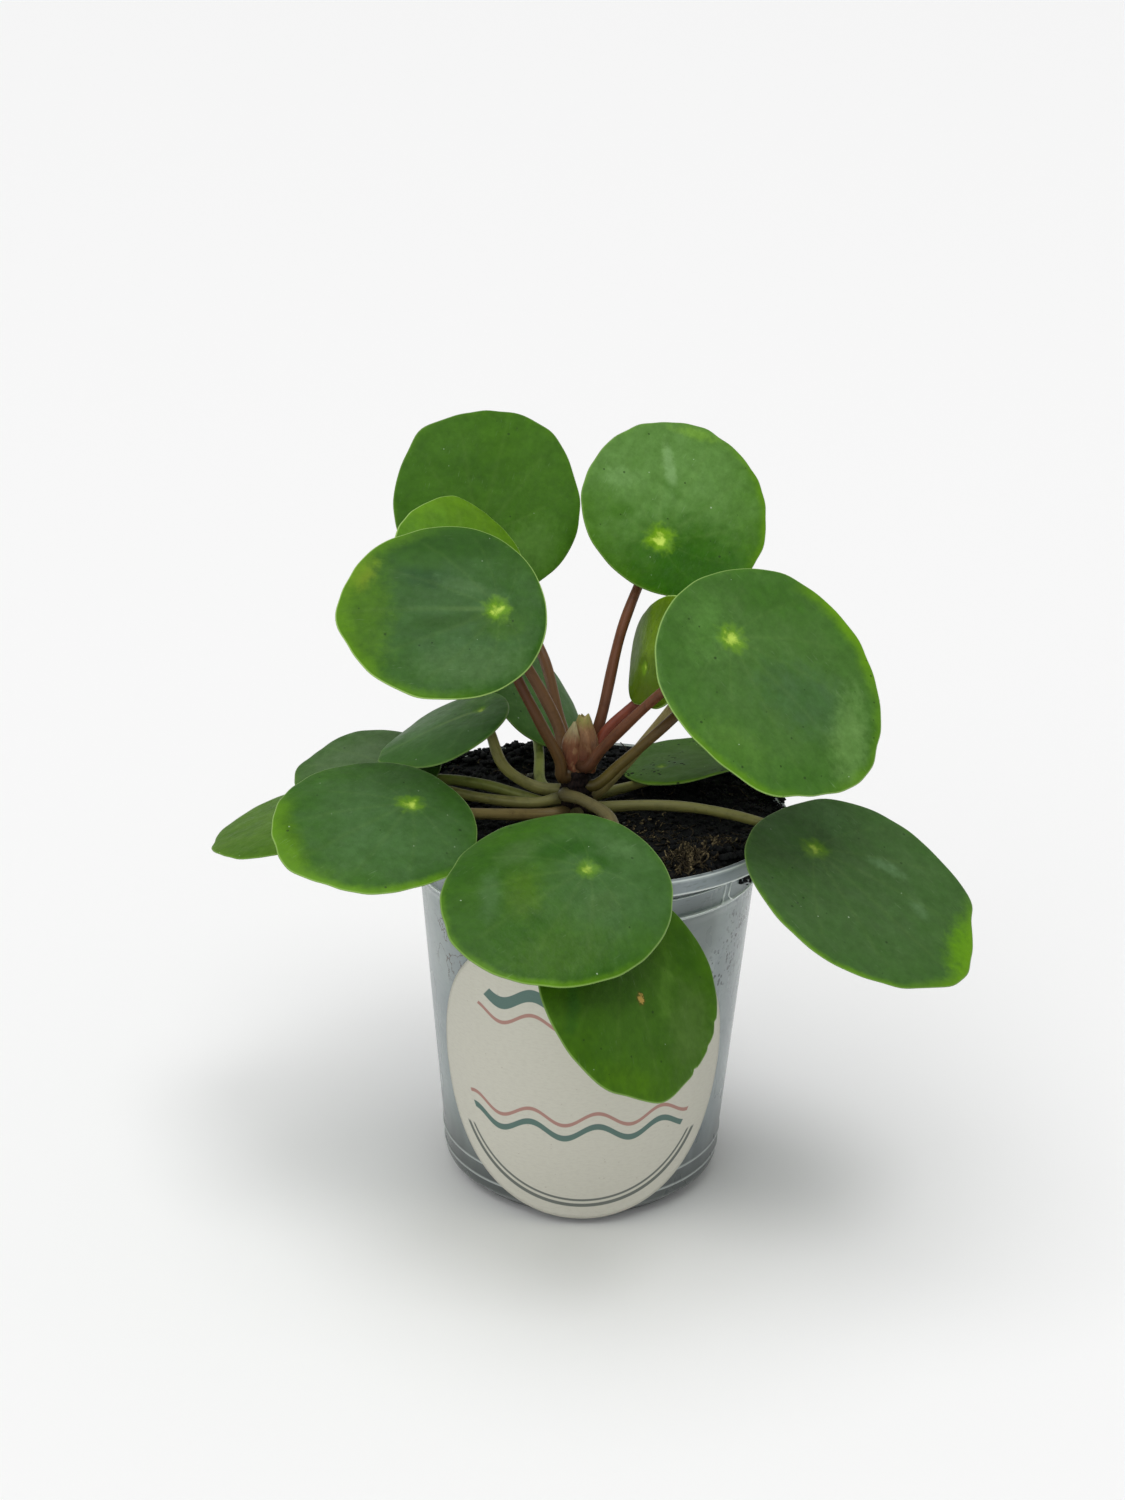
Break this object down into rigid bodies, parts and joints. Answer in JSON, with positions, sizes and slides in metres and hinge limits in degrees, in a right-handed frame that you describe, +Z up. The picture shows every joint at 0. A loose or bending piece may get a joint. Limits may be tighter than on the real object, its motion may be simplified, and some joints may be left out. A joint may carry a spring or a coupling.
{
  "type": "potted pilea plant",
  "caption": "Young pilea with round shield-shaped leaves on arching stalks, rooted in soil in a frosted round nursery pot with a plain round sticker.",
  "frame": {"origin": "middle of the pot's underside", "axes": "+Z up the pot; the sticker and the view side face -Y, +X to that viewer's right"},
  "size_m": [0.2231, 0.1716, 0.2241],
  "materials": {
    "pot": "frosted, slightly see-through blue-grey polypropylene",
    "label": "uncoated off-white paper",
    "soil": "damp dark potting mix with fibres and white grit",
    "trunk": "rough dark bark",
    "bud": "papery pinkish-brown scales",
    "leaf_green": "satin deep green with a pale hub spot and margin",
    "leaf_young": "satin yellow-green",
    "stalk_red": "smooth reddish brown",
    "stalk_olive": "smooth olive"
  },
  "bodies": {
    "root": {"pot": "pot", "label": "label", "soil": "soil", "trunk": "trunk", "bud": "bud", "leaf_01_blade": "leaf_green", "leaf_01_stalk": "stalk_red", "leaf_02_blade": "leaf_green", "leaf_02_stalk": "stalk_red", "leaf_03_blade": "leaf_young", "leaf_03_stalk": "stalk_red", "leaf_04_blade": "leaf_green", "leaf_04_stalk": "stalk_red", "leaf_05_blade": "leaf_green", "leaf_05_stalk": "stalk_red", "leaf_06_blade": "leaf_young", "leaf_06_stalk": "stalk_red", "leaf_07_blade": "leaf_green", "leaf_07_stalk": "stalk_red", "leaf_08_blade": "leaf_green", "leaf_08_stalk": "stalk_olive", "leaf_09_blade": "leaf_green", "leaf_09_stalk": "stalk_olive", "leaf_10_blade": "leaf_green", "leaf_10_stalk": "stalk_olive", "leaf_11_blade": "leaf_green", "leaf_11_stalk": "stalk_olive", "leaf_12_blade": "leaf_green", "leaf_12_stalk": "stalk_olive", "leaf_13_blade": "leaf_green", "leaf_13_stalk": "stalk_olive", "leaf_14_blade": "leaf_green", "leaf_14_stalk": "stalk_olive", "leaf_15_blade": "leaf_green", "leaf_15_stalk": "stalk_olive", "leaf_16_blade": "leaf_green", "leaf_16_stalk": "stalk_olive", "leaf_17_blade": "leaf_green", "leaf_17_stalk": "stalk_olive"}
  },
  "joints": []
}
